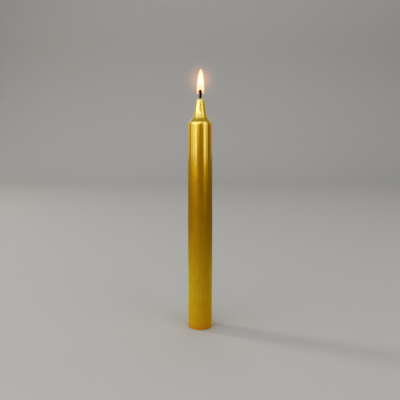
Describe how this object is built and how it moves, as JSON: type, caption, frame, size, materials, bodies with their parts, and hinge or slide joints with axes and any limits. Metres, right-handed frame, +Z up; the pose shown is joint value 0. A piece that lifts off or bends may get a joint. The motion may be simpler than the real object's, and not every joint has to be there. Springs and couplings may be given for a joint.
{
  "type": "taper candle",
  "caption": "Tall slim gold-lacquered candle with a straight foot, a gentle taper and a milled neck, a charred braided wick and a separate flame that can be hidden.",
  "frame": {"origin": "middle of the foot's flat underside, on the surface that the candle stands on", "axes": "+Z up along the candle's axis to the flame; -Y faces the viewer of the picture and +X is to the right there"},
  "size_m": [0.022, 0.022, 0.2275],
  "materials": {
    "gold_lacquered_wax": "metallic gold lacquer on paraffin wax, satin",
    "charred_cotton": "braided cotton, burnt black",
    "flame_light": "burning wax vapour, warm yellow light"
  },
  "bodies": {
    "root": {"wax_body": "gold_lacquered_wax", "wick": "charred_cotton", "flame": "flame_light"}
  },
  "joints": []
}
